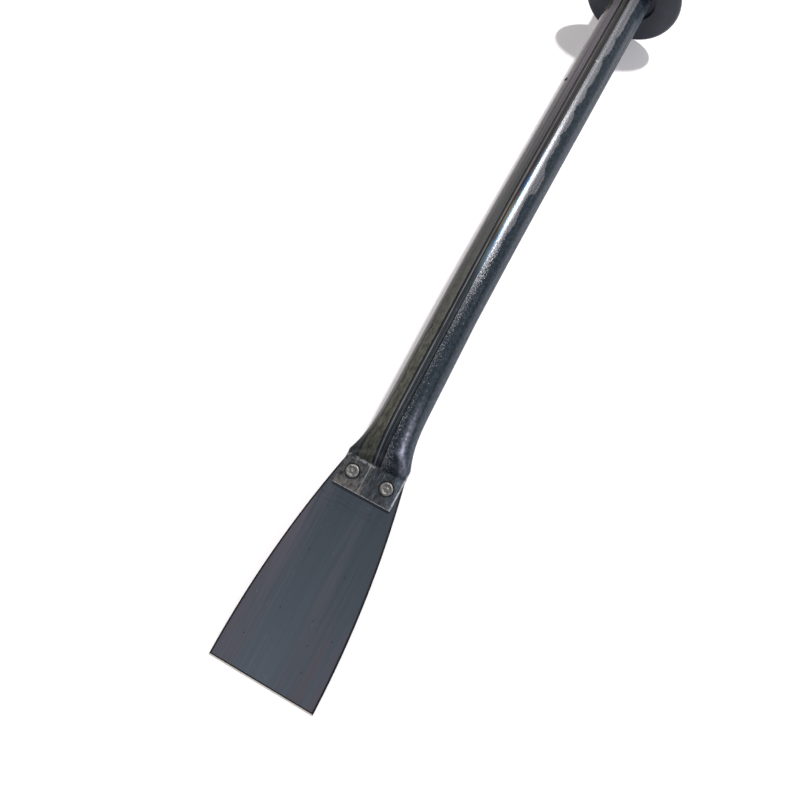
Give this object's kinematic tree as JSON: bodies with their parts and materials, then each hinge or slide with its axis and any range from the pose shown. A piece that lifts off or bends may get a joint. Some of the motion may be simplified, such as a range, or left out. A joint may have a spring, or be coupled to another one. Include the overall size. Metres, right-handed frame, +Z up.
{
  "type": "roofing shovel",
  "caption": "Hand-held roofing shovel: a tapered flat steel blade riveted under the pressed tongue of a bent steel tube, with a moulded grip and round hand guard.",
  "frame": {"origin": "on the surface that the tool lies on, at the bottom centre of its box", "axes": "+X along the tool from the cutting edge to the grip, +Y across the blade, +Z up, away from the surface"},
  "size_m": [0.6093, 0.068, 0.0645],
  "materials": {
    "blade_steel": "blued spring steel, rolled lengthwise",
    "tube_steel": "drawn welded steel tube, dark and glossy",
    "rivet_steel": "hammered steel",
    "grip_rubber": "black moulded rubber, matt"
  },
  "bodies": {
    "root": {"blade": "blade_steel", "handle_tube": "tube_steel", "rivet_left": "rivet_steel", "rivet_right": "rivet_steel", "grip": "grip_rubber"}
  },
  "joints": []
}
